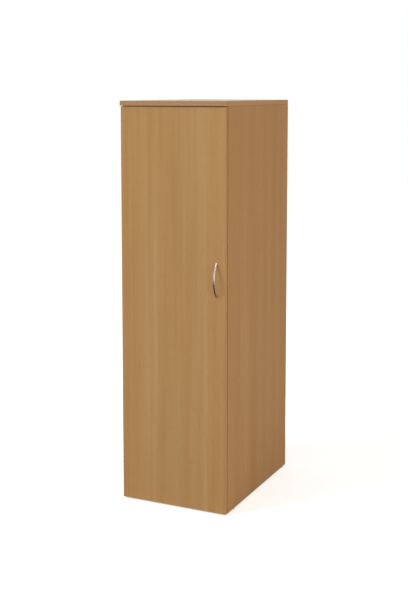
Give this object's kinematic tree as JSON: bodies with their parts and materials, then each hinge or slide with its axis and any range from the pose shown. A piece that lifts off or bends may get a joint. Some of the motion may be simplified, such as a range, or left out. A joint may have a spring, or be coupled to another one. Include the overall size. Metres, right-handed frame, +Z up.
{
  "type": "wardrobe",
  "caption": "Tall narrow wardrobe in beech-effect board with a hinged door, nickel bow handle, concealed hinges, hat shelf and hanging rail.",
  "frame": {"origin": "on the floor under the middle of the whole wardrobe, its handle included", "axes": "+Z up, +X to the wardrobe's right as seen from its front, +Y to its back; the door faces -Y"},
  "size_m": [0.51, 0.748, 1.8],
  "materials": {
    "door_board": "beech-effect melamine foil on chipboard, satin, grain upright",
    "carcass_board": "beech-effect melamine foil on chipboard, satin, grain upright on the sides",
    "top_board": "beech-effect melamine foil on chipboard, satin, grain along the width",
    "edging": "beech-effect plastic edge band, 1 and 2 mm, satin",
    "back_board": "beech-effect lacquered hardboard, 3 mm",
    "satin_nickel": "satin nickel plating on die-cast zinc",
    "chrome_rail": "bright chrome-plated steel tube",
    "nickel_plate": "bright nickel plating on pressed steel",
    "zinc_plate": "zinc-plated steel and die-cast zinc",
    "dowel_wood": "raw beech, fluted",
    "glide_plastic": "moulded polypropylene, brown",
    "buffer_plastic": "soft clear polyurethane"
  },
  "bodies": {
    "carcass": {"side_panel_left": "carcass_board", "side_panel_right": "carcass_board", "base_panel": "carcass_board", "plinth_panel": "carcass_board", "hat_shelf": "carcass_board", "top_panel": "top_board", "side_edging_left": "edging", "side_edging_right": "edging", "top_edging": "edging", "base_edging": "edging", "shelf_edging": "edging", "back_panel": "back_board", "hanging_rail": "chrome_rail", "rail_socket_left": "chrome_rail", "rail_socket_right": "chrome_rail", "hinge_plate_1": "nickel_plate", "hinge_plate_2": "nickel_plate", "hinge_plate_3": "nickel_plate", "hinge_arm_1": "nickel_plate", "hinge_arm_2": "nickel_plate", "hinge_arm_3": "nickel_plate", "rail_screws": "zinc_plate", "wall_bracket": "zinc_plate", "wall_bracket_screws": "zinc_plate", "plate_screws": "zinc_plate", "arm_screws": "zinc_plate", "back_pins": "zinc_plate", "cam_bolts": "zinc_plate", "cam_housings": "zinc_plate", "wood_dowels": "dowel_wood", "floor_glide_1": "glide_plastic", "floor_glide_2": "glide_plastic", "floor_glide_3": "glide_plastic", "floor_glide_4": "glide_plastic"},
    "outer_links": {"hinge_outer_link_1": "nickel_plate", "hinge_outer_link_2": "nickel_plate", "hinge_outer_link_3": "nickel_plate"},
    "inner_links": {"hinge_inner_link_1": "nickel_plate", "hinge_inner_link_2": "nickel_plate", "hinge_inner_link_3": "nickel_plate"},
    "door": {"door_panel": "door_board", "door_edging": "edging", "bow_handle": "satin_nickel", "handle_screws": "zinc_plate", "door_buffers": "buffer_plastic", "cup_screws": "zinc_plate", "hinge_cup_1": "nickel_plate", "hinge_cup_2": "nickel_plate", "hinge_cup_3": "nickel_plate"}
  },
  "joints": [
    {"name": "outer_link_swing", "type": "hinge", "parent": "carcass", "child": "outer_links", "pos_m": [-0.2199, -0.3179, 0.89], "axis": [0, 0, 1], "range_deg": [0, 35]},
    {"name": "inner_link_swing", "type": "hinge", "parent": "carcass", "child": "inner_links", "pos_m": [-0.2265, -0.331, 0.89], "axis": [0, 0, 1], "range_deg": [0, 46.5]},
    {"name": "door_swing", "type": "hinge", "parent": "outer_links", "child": "door", "pos_m": [-0.2434, -0.3274, 0.89], "axis": [0, 0, -1], "range_deg": [0, 139.6]}
  ],
  "couplings": [
    {"joint": "outer_link_swing", "follows": "door_swing", "ratio": 0.24812},
    {"joint": "inner_link_swing", "follows": "door_swing", "ratio": 0.32932}
  ]
}
